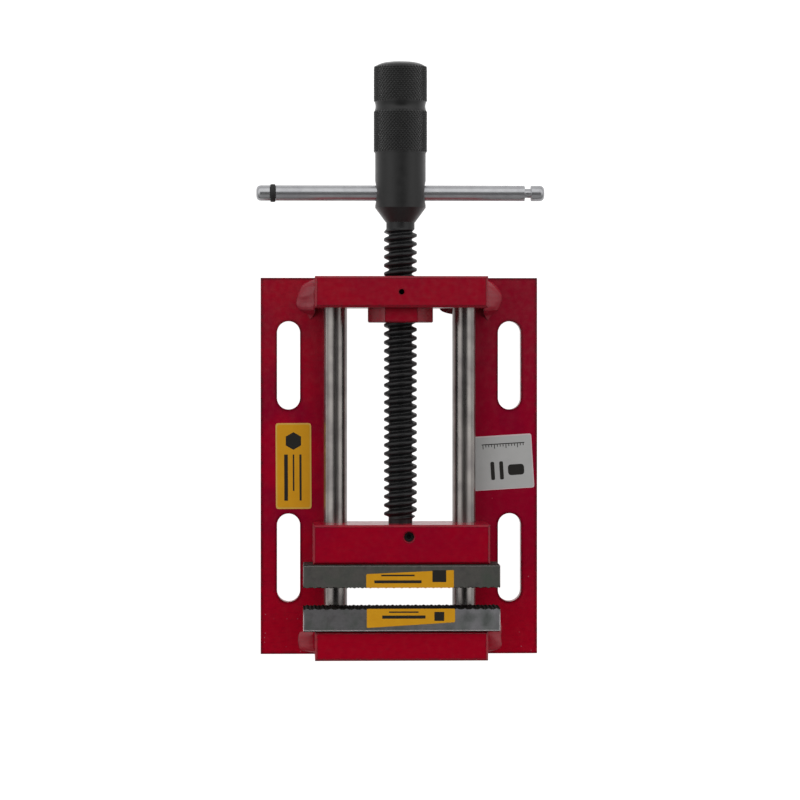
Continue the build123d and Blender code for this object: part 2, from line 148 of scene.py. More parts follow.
def gloss_enamel(
    name, pale, deep, thin_paint_and_edge_shade, thin_gloss, thin_and_shade_reach, right_side_shade, grain, grain_depth, haze,
    spatter,
):
    """Gloss alkyd enamel, brushed thickly over bar steel. It gives the eye a deep wet red that
    mirrors, waves a little over the mill scale, is streaked by the brush across the vise, goes
    dark and dull on an arris, where it ran thin and where painted shade stands in for a dark edge,
    is paler and hazier in patches towards the handle's end, is paler at the jaws' end as painted
    light and deeper towards the right as painted shade, and has caught weld spatter at the jaws'
    end."""
    material, tree, place = blank_finish(name)
    pooling = add(tree, "ShaderNodeTexNoise", {"Vector": place, "Scale": 1 / mm(22), "Detail": 3.0})
    pooled = add(tree, "ShaderNodeMapRange", {
        "Value": pooling, "From Min": 0.38, "From Max": 0.66, "To Min": 0.45,
    })
    # Paler at the jaws' end as painted light, deeper towards the right as painted shade
    where = add(tree, "ShaderNodeSeparateXYZ", {0: place})
    painted_jaw_end_light = add(tree, "ShaderNodeMapRange", {
        "Value": where.outputs["X"], "From Min": mm(-85), "From Max": mm(-35), "To Min": 0.15,
    })
    rightward = add(tree, "ShaderNodeMapRange", {
        "Value": where.outputs["Y"], "From Min": mm(20), "From Max": mm(-40), "To Max": right_side_shade,
    })
    deepest = add(tree, "ShaderNodeMath", {0: pooled, 1: rightward}, operation="MAXIMUM")
    pool = add(tree, "ShaderNodeMath", {0: deepest, 1: painted_jaw_end_light}, operation="MULTIPLY")
    paint = add(tree, "ShaderNodeMix", {
        SHARE: pool, COLOUR_A: linear(pale), COLOUR_B: linear(deep),
    }, data_type="RGBA")
    # Streaks of the brush
    brushed = add(tree, "ShaderNodeMapping", {
        "Vector": place, "Scale": (1 / mm(1.1), 1 / mm(4.5), 1 / mm(2)),
    })
    streak = add(tree, "ShaderNodeTexNoise", {"Vector": brushed, "Scale": 1.0, "Detail": 3.0})
    streaked = add(tree, "ShaderNodeMapRange", {
        "Value": streak, "From Min": 0.5, "From Max": 0.72, "To Max": 0.35,
    })
    paint = add(tree, "ShaderNodeMix", {
        SHARE: streaked, COLOUR_A: paint, COLOUR_B: linear("#860320"),
    }, data_type="RGBA")
    patchy = add(tree, "ShaderNodeTexNoise", {"Vector": place, "Scale": 1 / mm(3), "Detail": 2.0})
    # Arrises go dark: the paint ran thin there, and painted shade stands in for a dark edge
    arris = worn_edge(tree, thin_and_shade_reach, 0.003, 0.04)
    uneven = add(tree, "ShaderNodeMapRange", {
        "Value": patchy, "From Min": 0.35, "From Max": 0.6, "To Min": 0.45, "To Max": 0.95,
    })
    edge = add(tree, "ShaderNodeMath", {0: arris, 1: uneven}, operation="MULTIPLY")
    mirror = add(tree, "ShaderNodeMapRange", {"Value": arris, "To Min": 0.5, "To Max": thin_gloss})
    thin = add(tree, "ShaderNodeMix", {
        SHARE: edge, COLOUR_A: paint, COLOUR_B: linear(thin_paint_and_edge_shade),
    }, data_type="RGBA")
    # A few dust nibs, and weld spatter at the jaws' end
    nibs = add(tree, "ShaderNodeTexVoronoi", {"Vector": place, "Scale": 1 / mm(2.4)})
    nib = add(tree, "ShaderNodeMapRange", {"Value": nibs, "From Min": 0.17, "From Max": 0.06})
    which = add(tree, "ShaderNodeSeparateColor", {"Color": nibs.outputs["Color"]})
    rarity = add(tree, "ShaderNodeMapRange", {
        "Value": where.outputs["X"], "From Min": mm(-84), "From Max": mm(-58),
        "To Min": 1 - spatter, "To Max": 0.997,
    })
    some = add(tree, "ShaderNodeMath", {0: which, 1: rarity}, operation="GREATER_THAN")
    speck = add(tree, "ShaderNodeMath", {0: nib, 1: some}, operation="MULTIPLY")
    colour = add(tree, "ShaderNodeMix", {
        SHARE: speck, COLOUR_A: thin, COLOUR_B: linear("#B8586C"),
    }, data_type="RGBA")
    # Paler and hazier in patches towards the handle's end
    handleward = add(tree, "ShaderNodeMapRange", {
        "Value": where.outputs["X"], "From Min": mm(10), "From Max": mm(80), "To Max": haze,
    }, interpolation_type="SMOOTHSTEP")
    dusty = add(tree, "ShaderNodeMath", {0: patchy, 1: handleward}, operation="MULTIPLY")
    hazed = add(tree, "ShaderNodeMix", {
        SHARE: dusty, COLOUR_A: colour, COLOUR_B: linear("#94706A"),
    }, data_type="RGBA")
    peel = add(tree, "ShaderNodeTexNoise", {"Vector": place, "Scale": 1 / mm(grain), "Detail": 2.5})
    waves = add(tree, "ShaderNodeTexNoise", {"Vector": place, "Scale": 1 / mm(9), "Detail": 1.0})
    wavy = add(tree, "ShaderNodeBump", {"Height": waves, "Distance": mm(0.12), "Strength": 0.6})
    peeled = add(tree, "ShaderNodeBump", {
        "Height": peel, "Distance": mm(grain_depth), "Normal": wavy,
    })
    raised = add(tree, "ShaderNodeBump", {"Height": speck, "Distance": mm(0.05), "Normal": peeled})
    sheen = add(tree, "ShaderNodeMapRange", {
        "Value": patchy, "From Min": 0.3, "From Max": 0.7, "To Min": 0.14, "To Max": 0.26,
    })
    shade(tree, {
        "Base Color": hazed, "Roughness": sheen, "IOR": 1.5, "Specular IOR Level": mirror,
        "Normal": raised,
    })
    return material


def ground_steel():
    """Centreless ground steel bar. It gives the eye a clean grey mirror drawn out into long soft
    bands, under a film of oil, with rubbed streaks where the jaw slides."""
    material, tree, place = blank_finish("centreless ground steel")
    oil = add(tree, "ShaderNodeTexNoise", {"Vector": place, "Scale": 1 / mm(11), "Detail": 3.0})
    oiled = add(tree, "ShaderNodeMapRange", {"Value": oil, "From Min": 0.4, "From Max": 0.65})
    colour = add(tree, "ShaderNodeMix", {
        SHARE: oiled, COLOUR_A: linear("#A19C98"), COLOUR_B: linear("#898482"),
    }, data_type="RGBA")
    # The jaw's bores rub the rods lengthwise, in streaks that are drawn about a millimetre wide
    along_the_rod = add(tree, "ShaderNodeMapping", {
        "Vector": place, "Scale": (1 / mm(45), 1 / mm(1.2), 1 / mm(1.2)),
    })
    streaks = add(tree, "ShaderNodeTexNoise", {
        "Vector": along_the_rod, "Scale": 1.0, "Detail": 2.0,
    })
    gloss = add(tree, "ShaderNodeMapRange", {
        "Value": streaks, "From Min": 0.3, "From Max": 0.7, "To Min": 0.22, "To Max": 0.32,
    })
    rubbed = add(tree, "ShaderNodeBump", {"Height": streaks, "Distance": mm(0.004)})
    shade(tree, {"Base Color": colour, "Metallic": 1.0, "Roughness": gloss, "Normal": rubbed})
    return material


def milled_steel(name, dark, pale, right_lift, bruise_and_highlight, tooth_x, clear_x):
    """Milled jaw steel, a little stained. It gives the eye a dull grey with cutter lines along the
    jaw, tinted and rubbed patches, a paler right end, and worn edges painted pale as a highlight;
    its toothed face is painted dark as shade, and is dark with oil and grit too."""
    material, tree, place = blank_finish(name)
    along_the_jaw = add(tree, "ShaderNodeMapping", {
        "Vector": place, "Scale": (1 / mm(0.5), 1 / mm(24), 1 / mm(1.5)),
    })
    lines = add(tree, "ShaderNodeTexNoise", {"Vector": along_the_jaw, "Scale": 1.0, "Detail": 3.0})
    stain = add(tree, "ShaderNodeTexNoise", {"Vector": place, "Scale": 1 / mm(5), "Detail": 5.0})
    stained = add(tree, "ShaderNodeMapRange", {"Value": stain, "From Min": 0.36, "From Max": 0.68})
    body = add(tree, "ShaderNodeMix", {
        SHARE: stained, COLOUR_A: linear(dark), COLOUR_B: linear(pale),
    }, data_type="RGBA")
    # Paler towards the right end
    where = add(tree, "ShaderNodeSeparateXYZ", {0: place})
    rightward = add(tree, "ShaderNodeMapRange", {
        "Value": where.outputs["Y"], "From Min": mm(15), "From Max": mm(-45), "To Max": right_lift,
    })
    lifted = add(tree, "ShaderNodeMix", {
        SHARE: rightward, COLOUR_A: body, COLOUR_B: linear("#D6D5DA"),
    }, data_type="RGBA")
    temper = add(tree, "ShaderNodeTexNoise", {"Vector": place, "Scale": 1 / mm(9), "Detail": 3.0})
    tinted = add(tree, "ShaderNodeMapRange", {
        "Value": temper, "From Min": 0.45, "From Max": 0.7, "To Max": 0.5,
    })
    tint = add(tree, "ShaderNodeMix", {
        SHARE: tinted, COLOUR_A: lifted, COLOUR_B: linear("#6C7C6E"),
    }, data_type="RGBA")
    # Arrises are worn, and painted pale as a highlight, where they are clear of the teeth
    clear = add(tree, "ShaderNodeMapRange", {
        "Value": where.outputs["X"], "From Min": mm(tooth_x), "From Max": mm(clear_x),
        "To Max": bruise_and_highlight,
    })
    bruised_and_highlit = add(tree, "ShaderNodeMath", {
        0: worn_edge(tree, 0.9, 0.004, 0.04), 1: clear,
    }, operation="MULTIPLY")
    edged = add(tree, "ShaderNodeMix", {
        SHARE: bruised_and_highlit, COLOUR_A: tint, COLOUR_B: linear("#F6ECEC"),
    }, data_type="RGBA")
    # The toothed face looks along X, and so do its teeth, more or less. It is painted dark: painted
    # shade on that face, and oil and grit
    facing = add(tree, "ShaderNodeNewGeometry")
    ways = add(tree, "ShaderNodeSeparateXYZ", {0: facing.outputs["True Normal"]})
    along_x = add(tree, "ShaderNodeMath", {0: ways.outputs["X"]}, operation="ABSOLUTE")
    toothed = add(tree, "ShaderNodeMapRange", {"Value": along_x, "From Min": 0.5, "From Max": 0.6})
    colour = add(tree, "ShaderNodeMix", {
        SHARE: toothed, COLOUR_A: edged, COLOUR_B: linear("#35322F"),
    }, data_type="RGBA")
    dullness = add(tree, "ShaderNodeMapRange", {
        "Value": stain, "From Min": 0.3, "From Max": 0.7, "To Min": 0.46, "To Max": 0.34,
    })
    dirty = add(tree, "ShaderNodeMapRange", {"Value": toothed, "To Min": dullness, "To Max": 0.65})
    cut = add(tree, "ShaderNodeBump", {"Height": lines, "Distance": mm(0.02)})
    # The pale arrises, worn and with a painted highlight, are less metallic and scatter the light
    bare = add(tree, "ShaderNodeMapRange", {"Value": bruised_and_highlit, "To Min": 1.0, "To Max": 0.15})
    shade(tree, {"Base Color": colour, "Metallic": bare, "Roughness": dirty, "Normal": cut})
    return material


def black_oxide(name, deep, bloom, peak, bloom_sheen, wear):
    """Black oxide on steel, oiled. It gives the eye a near-black with a soft sheen that greys
    towards its edges, and paler where a hand or the nut has rubbed the high places."""
    material, tree, place = blank_finish(name)
    cloud = add(tree, "ShaderNodeTexNoise", {"Vector": place, "Scale": 1 / mm(4), "Detail": 4.0})
    clouded = add(tree, "ShaderNodeMix", {
        SHARE: cloud, COLOUR_A: linear(deep), COLOUR_B: linear(bloom),
    }, data_type="RGBA")
    patchy = add(tree, "ShaderNodeMath", {
        0: worn_edge(tree, 0.4, 0.05, 0.4), 1: cloud,
    }, operation="MULTIPLY")
    rubbed = add(tree, "ShaderNodeMath", {0: patchy, 1: wear}, operation="MULTIPLY")
    colour = add(tree, "ShaderNodeMix", {
        SHARE: rubbed, COLOUR_A: clouded, COLOUR_B: linear(peak),
    }, data_type="RGBA")
    gloss = add(tree, "ShaderNodeMapRange", {
        "Value": cloud, "From Min": 0.3, "From Max": 0.7, "To Min": 0.34, "To Max": 0.48,
    })
    turning = add(tree, "ShaderNodeMapping", {
        "Vector": place, "Scale": (1 / mm(0.5), 1 / mm(8), 1 / mm(8)),
    })
    tool_lines = add(tree, "ShaderNodeTexNoise", {"Vector": turning, "Scale": 1.0, "Detail": 2.0})
    scored = add(tree, "ShaderNodeBump", {"Height": tool_lines, "Distance": mm(0.005)})
    shade(tree, {
        "Base Color": colour, "Metallic": 0.35, "Roughness": gloss, "Sheen Weight": bloom_sheen,
        "Sheen Roughness": 0.35, "Normal": scored,
    })
    return material


def bright_zinc():
    """Bright zinc plating on a drawn bar. It gives the eye a cold mirror with a slight haze and
    faint draw lines along the bar."""
    material, tree, place = blank_finish("bright zinc plating")
    along_the_bar = add(tree, "ShaderNodeMapping", {
        "Vector": place, "Scale": (1 / mm(0.4), 1 / mm(20), 1 / mm(0.4)),
    })
    draw = add(tree, "ShaderNodeTexNoise", {"Vector": along_the_bar, "Scale": 1.0, "Detail": 2.0})
    haze = add(tree, "ShaderNodeTexNoise", {"Vector": place, "Scale": 1 / mm(5), "Detail": 3.0})
    colour = add(tree, "ShaderNodeMix", {
        SHARE: haze, COLOUR_A: linear("#C5C6C8"), COLOUR_B: linear("#A0A0A4"),
    }, data_type="RGBA")
    gloss = add(tree, "ShaderNodeMapRange", {
        "Value": haze, "From Min": 0.3, "From Max": 0.7, "To Min": 0.18, "To Max": 0.27,
    })
    drawn = add(tree, "ShaderNodeBump", {"Height": draw, "Distance": mm(0.003)})
    shade(tree, {"Base Color": colour, "Metallic": 0.7, "Roughness": gloss, "Normal": drawn})
    return material


def ring_rubber():
    """Black nitrile rubber, moulded. It gives the eye a dead black with a faint dusty bloom."""
    material, tree, place = blank_finish("moulded nitrile rubber")
    bloom = add(tree, "ShaderNodeTexNoise", {"Vector": place, "Scale": 1 / mm(0.8), "Detail": 3.0})
    colour = add(tree, "ShaderNodeMix", {
        SHARE: bloom, COLOUR_A: linear("#121212"), COLOUR_B: linear("#242424"),
    }, data_type="RGBA")
    skin = add(tree, "ShaderNodeBump", {"Height": bloom, "Distance": mm(0.02)})
    shade(tree, {"Base Color": colour, "Roughness": 0.7, "IOR": 1.52, "Normal": skin})
    return material


def sticker_film(name, pale, deep, roughness):
    """Printed self-adhesive film, laid by hand. It gives the eye an even colour that ripples a
    little over the surface under it."""
    material, tree, place = blank_finish(name)
    mottle = add(tree, "ShaderNodeTexNoise", {"Vector": place, "Scale": 1 / mm(5), "Detail": 4.0})
    colour = add(tree, "ShaderNodeMix", {
        SHARE: mottle, COLOUR_A: linear(pale), COLOUR_B: linear(deep),
    }, data_type="RGBA")
    ripple = add(tree, "ShaderNodeTexNoise", {"Vector": place, "Scale": 1 / mm(4), "Detail": 1.0})
    rippled = add(tree, "ShaderNodeBump", {"Height": ripple, "Distance": mm(0.04)})
    shade(tree, {"Base Color": colour, "Roughness": roughness, "IOR": 1.46, "Normal": rippled})
    return material


def light_table():
    """Matt white acrylic, lit from below towards the camera only. It gives the eye an even white
    with no shadows on it, and the metal above it a pale grey to mirror."""
    material, tree, place = blank_finish("lit white acrylic")
    frost = add(tree, "ShaderNodeTexNoise", {"Vector": place, "Scale": 1 / mm(2), "Detail": 2.0})
    rough = add(tree, "ShaderNodeMapRange", {"Value": frost, "To Min": 0.55, "To Max": 0.7})
    seen_straight = add(tree, "ShaderNodeLightPath").outputs["Is Camera Ray"]
    glow = add(tree, "ShaderNodeMapRange", {"Value": seen_straight, "To Min": 0.62, "To Max": 1.0})
    shade(tree, {
        "Base Color": linear("#8C8C8C"), "Roughness": rough, "Emission Color": linear("#FFFFFF"),
        "Emission Strength": glow,
    })
    return material


flange_enamel = gloss_enamel(
    "gloss red enamel on rolled bar", pale="#BC0424", deep="#900228", thin_paint_and_edge_shade="#2C050D",
    thin_gloss=0.0, thin_and_shade_reach=2.6, right_side_shade=0.85, grain=1.6, grain_depth=0.06, haze=0.1,
    spatter=0.16,
)
block_enamel = gloss_enamel(
    "gloss red enamel on sawn block", pale="#AA0320", deep="#9A0224", thin_paint_and_edge_shade="#560E1A",
    thin_gloss=0.3, thin_and_shade_reach=1.3, right_side_shade=0.3, grain=2.6, grain_depth=0.03, haze=0.07,
    spatter=0.01,
)
rod_steel = ground_steel()
moving_steel = milled_steel(
    "milled jaw steel, oily, painted highlight and shade", dark="#6E6B69", pale="#98958F", right_lift=0.0, bruise_and_highlight=0.4,
    tooth_x=-61.5, clear_x=-59.5,
)
fixed_steel = milled_steel(
    "milled jaw steel, rubbed, painted highlight and shade", dark="#7C7A7B", pale="#B0AEB0", right_lift=0.45, bruise_and_highlight=1.0,
    tooth_x=-74.5, clear_x=-76.5,
)
oxide = black_oxide(
    "oiled black oxide", deep="#171718", bloom="#252526", peak="#5C5B5A", bloom_sheen=0.0,
    wear=1.0,
)
handled_oxide = black_oxide(
    "black oxide worn by hands", deep="#1C1C1C", bloom="#282828", peak="#6A6967",
    bloom_sheen=0.7, wear=0.25,
)
weld_enamel = gloss_enamel(
    "thick red enamel over weld", pale="#AA0324", deep="#8E0226", thin_paint_and_edge_shade="#6A1020",
    thin_gloss=0.3, thin_and_shade_reach=0.5, right_side_shade=0.2, grain=2.2, grain_depth=0.05, haze=0.05,
    spatter=0.2,
)
zinc = bright_zinc()
rubber = ring_rubber()
yellow_film = sticker_film("yellow vinyl film", pale="#E2A41A", deep="#D69510", roughness=0.35)
yellow_rim = sticker_film("pale yellow vinyl film rim, painted highlight", pale="#E0B85A", deep="#D8AC48", roughness=0.35)
grey_film = sticker_film("silver grey label film", pale="#BDBDBC", deep="#B3B4B2", roughness=0.4)
grey_rim = sticker_film("label film's raw edge, painted highlight", pale="#D8C4C6", deep="#CDB9BC", roughness=0.5)
black_ink = sticker_film("black screen-printed ink", pale="#16140F", deep="#201E1A", roughness=0.45)


def coat(mesh, material):
    """Gives a mesh this one material."""
    mesh.materials.clear()
    mesh.materials.append(material)


def carry(name, mesh):
    """A mesh as an object in the scene."""
    carrier = bpy.data.objects.new(name, mesh)
    bpy.context.scene.collection.objects.link(carrier)
    return carrier


def as_piece(name, mesh, body, material, stands_for=()):
    """Links a finished mesh as a piece that rides on a body, and says which solids it stands
    for."""
    coat(mesh, material)
    piece = carry(name, mesh)
    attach(piece, body)
    if stands_for:
        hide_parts(*stands_for)


def to_mesh(shape, name):
    """The mesh of a bmesh, which is freed."""
    mesh = bpy.data.meshes.new(name)
    shape.to_mesh(mesh)
    shape.free()
    return mesh


def closed(shape, name):
    """Merges a bmesh's seams, points its faces outwards, and returns it as a smooth mesh."""
    bmesh.ops.remove_doubles(shape, verts=shape.verts, dist=mm(0.002))
    bmesh.ops.dissolve_degenerate(shape, edges=shape.edges, dist=mm(0.0005))
    bmesh.ops.recalc_face_normals(shape, faces=shape.faces)
    mesh = to_mesh(shape, name)
    mesh.shade_smooth()
    return mesh


def plain_mesh(piece):
    """The piece's mesh with its modifiers worked in."""
    view = bpy.context.evaluated_depsgraph_get()
    return bpy.data.meshes.new_from_object(piece.evaluated_get(view))


def roll_edges(piece, width, angle):
    """Bevel and weighted normals on a piece, live; the angle says how sharp an edge must be."""
    roll = piece.modifiers.new("Rolled edges", "BEVEL")
    roll.width = mm(width)
    roll.segments = ROLL_STEPS
    roll.limit_method = "ANGLE"
    roll.angle_limit = math.radians(angle)
    flats = piece.modifiers.new("Flats stay flat", "WEIGHTED_NORMAL")
    flats.keep_sharp = True


def rounded_edges(mesh, width, angle=30):
    """The mesh with its sharp edges rolled over, and its flats kept flat to the eye."""
    carrier = carry(mesh.name, mesh)
    roll_edges(carrier, width, angle)
    rolled = plain_mesh(carrier)
    bpy.data.objects.remove(carrier)
    return rolled


def turn(shape, profile, point):
    """Adds a turned surface to a bmesh. Profile is (place along, radius) from end to end, and
    point(along, radius, angle) gives where that is."""
    rings = []
    for along, radius in profile:
        rings.append([
            shape.verts.new(point(along, radius, math.tau * step / ROUND_STEPS))
            for step in range(ROUND_STEPS if radius > 0 else 1)
        ])
    for near, far in zip(rings, rings[1:]):
        for step in range(ROUND_STEPS):
            after = (step + 1) % ROUND_STEPS
            if len(near) == 1:
                shape.faces.new((near[0], far[step], far[after]))
            elif len(far) == 1:
                shape.faces.new((near[step], far[0], near[after]))
            else:
                shape.faces.new((near[step], far[step], far[after], near[after]))


def about_screw(along, radius, angle):
    """A point about the lead screw's line; the angle goes from +Y towards +Z."""
    return mm(along, radius * math.cos(angle), SCREW_Z + radius * math.sin(angle))


def about_bar(along, radius, angle):
    """A point about the tommy bar's line."""
    return mm(BAR_X + radius * math.cos(angle), along, SCREW_Z + radius * math.sin(angle))


def turned(name, profile, point):
    """A turned solid as a mesh."""
    shape = bmesh.new()
    turn(shape, profile, point)
    return closed(shape, name)


def cut_out(mesh, cutter):
    """The mesh with the cutter's solid taken out of it."""
    whole = carry(mesh.name, mesh)
    tool = carry("cutter", cutter)
    cut = whole.modifiers.new("Cut", "BOOLEAN")
    cut.object = tool
    cut.solver = "EXACT"
    result = plain_mesh(whole)
    for carrier in (whole, tool):
        bpy.data.objects.remove(carrier)
    return result


def new_form(name, sizes):
    """A Geometry Nodes tree with a named input for each size, and those inputs' sockets."""
    tree = bpy.data.node_groups.new(name, "GeometryNodeTree")
    tree.interface.new_socket("Geometry", in_out="OUTPUT", socket_type="NodeSocketGeometry")
    kinds = {int: "NodeSocketInt", float: "NodeSocketFloat"}
    for size, value in sizes.items():
        kind = kinds.get(type(value), "NodeSocketMaterial")
        tree.interface.new_socket(size, in_out="INPUT", socket_type=kind)
    return tree, add(tree, "NodeGroupInput").outputs


def grown(tree, shape, sizes, given):
    """Ends the tree in its finish, grows it at these sizes, and returns the plain mesh."""
    whole = add(tree, "GeometryNodeRealizeInstances", {"Geometry": shape})
    finished = add(tree, "GeometryNodeSetMaterial", {
        "Geometry": whole, "Material": given["Finish"],
    })
    add(tree, "NodeGroupOutput", {"Geometry": finished})
    carrier = carry(tree.name, bpy.data.meshes.new(tree.name))
    form = carrier.modifiers.new("Form", "NODES")
    form.node_group = tree
    for item in tree.interface.items_tree:
        if item.in_out == "INPUT":
            form[item.identifier] = sizes[item.name]
    mesh = plain_mesh(carrier)
    bpy.data.objects.remove(carrier)
    return mesh


def thread_surface():
    """The lead screw's thread: a sheared grid rolled round the screw, so that its rows follow the
    helix, with narrow rounded crests and wide roots that run out at both ends."""
    sizes = {
        "Start": mm(THREAD_START), "End": mm(THREAD_END), "Pitch": mm(THREAD_PITCH),
        "Crest at": mm(26.66), "Crest radius": mm(THREAD_CREST), "Root radius": mm(THREAD_ROOT),
        "Crest flat": mm(0.45), "Root reach": mm(1.95), "Front radius": mm(SPIGOT_RADIUS),
        "Rear radius": mm(NECK_RADIUS), "Run out": mm(2.2), "Screw height": mm(SCREW_Z),
        "Turns": 36, "Rows a turn": 16, "Steps round": ROUND_STEPS, "Finish": oxide,
    }
    tree, given = new_form("Thread", sizes)
    rows = add(tree, "ShaderNodeMath", {
        0: given["Turns"], 1: given["Rows a turn"],
    }, operation="MULTIPLY")
    row_lines = add(tree, "ShaderNodeMath", {0: rows, 1: 1.0})
    columns = add(tree, "ShaderNodeMath", {0: given["Steps round"], 1: 1.0})
    grid = add(tree, "GeometryNodeMeshGrid", {
        "Size X": 1.0, "Size Y": 1.0, "Vertices X": row_lines, "Vertices Y": columns,
    })
    place = add(tree, "ShaderNodeVectorMath", {
        0: add(tree, "GeometryNodeInputPosition"), 1: (0.5, 0.5, 0.0),
    })
    share = add(tree, "ShaderNodeSeparateXYZ", {0: place})
    length = add(tree, "ShaderNodeMath", {
        0: given["Turns"], 1: given["Pitch"],
    }, operation="MULTIPLY")
    before = add(tree, "ShaderNodeMath", {
        0: given["Start"], 1: given["Pitch"],
    }, operation="SUBTRACT")
    row = add(tree, "ShaderNodeMath", {
        0: share.outputs["X"], 1: length, 2: before,
    }, operation="MULTIPLY_ADD")
    climbed = add(tree, "ShaderNodeMath", {
        0: share.outputs["Y"], 1: given["Pitch"], 2: row,
    }, operation="MULTIPLY_ADD")
    after_start = add(tree, "ShaderNodeMath", {0: climbed, 1: given["Start"]}, operation="MAXIMUM")
    along = add(tree, "ShaderNodeMath", {0: after_start, 1: given["End"]}, operation="MINIMUM")
    from_crest = add(tree, "ShaderNodeMath", {0: row, 1: given["Crest at"]}, operation="SUBTRACT")
    half_pitch = add(tree, "ShaderNodeMath", {0: given["Pitch"], 1: 0.5}, operation="MULTIPLY")
    minus_half = add(tree, "ShaderNodeMath", {0: given["Pitch"], 1: -0.5}, operation="MULTIPLY")
    wrapped = add(tree, "ShaderNodeMath", {
        0: from_crest, 1: half_pitch, 2: minus_half,
    }, operation="WRAP")
    off_crest = add(tree, "ShaderNodeMath", {0: wrapped}, operation="ABSOLUTE")
    cut_radius = add(tree, "ShaderNodeMapRange", {
        "Value": off_crest, "From Min": given["Crest flat"], "From Max": given["Root reach"],
        "To Min": given["Crest radius"], "To Max": given["Root radius"],
    }, interpolation_type="SMOOTHSTEP")
    front_full = add(tree, "ShaderNodeMath", {0: given["Start"], 1: given["Run out"]})
    front_run = add(tree, "ShaderNodeMapRange", {
        "Value": along, "From Min": given["Start"], "From Max": front_full,
        "To Min": given["Front radius"], "To Max": cut_radius,
    }, interpolation_type="SMOOTHSTEP")
    rear_full = add(tree, "ShaderNodeMath", {
        0: given["End"], 1: given["Run out"],
    }, operation="SUBTRACT")
    radius = add(tree, "ShaderNodeMapRange", {
        "Value": along, "From Min": rear_full, "From Max": given["End"], "To Min": front_run,
        "To Max": given["Rear radius"],
    }, interpolation_type="SMOOTHSTEP")
    angle = add(tree, "ShaderNodeMath", {0: share.outputs["Y"], 1: math.tau}, operation="MULTIPLY")
    cosine = add(tree, "ShaderNodeMath", {0: angle}, operation="COSINE")
    sine = add(tree, "ShaderNodeMath", {0: angle}, operation="SINE")
    across = add(tree, "ShaderNodeMath", {0: radius, 1: cosine}, operation="MULTIPLY")
    height = add(tree, "ShaderNodeMath", {
        0: radius, 1: sine, 2: given["Screw height"],
    }, operation="MULTIPLY_ADD")
    rolled = add(tree, "ShaderNodeCombineXYZ", {"X": along, "Y": across, "Z": height})
    wound = add(tree, "GeometryNodeSetPosition", {"Geometry": grid, "Position": rolled})
    seamless = add(tree, "GeometryNodeMergeByDistance", {"Geometry": wound, "Distance": mm(0.002)})
    return grown(tree, seamless, sizes, given)


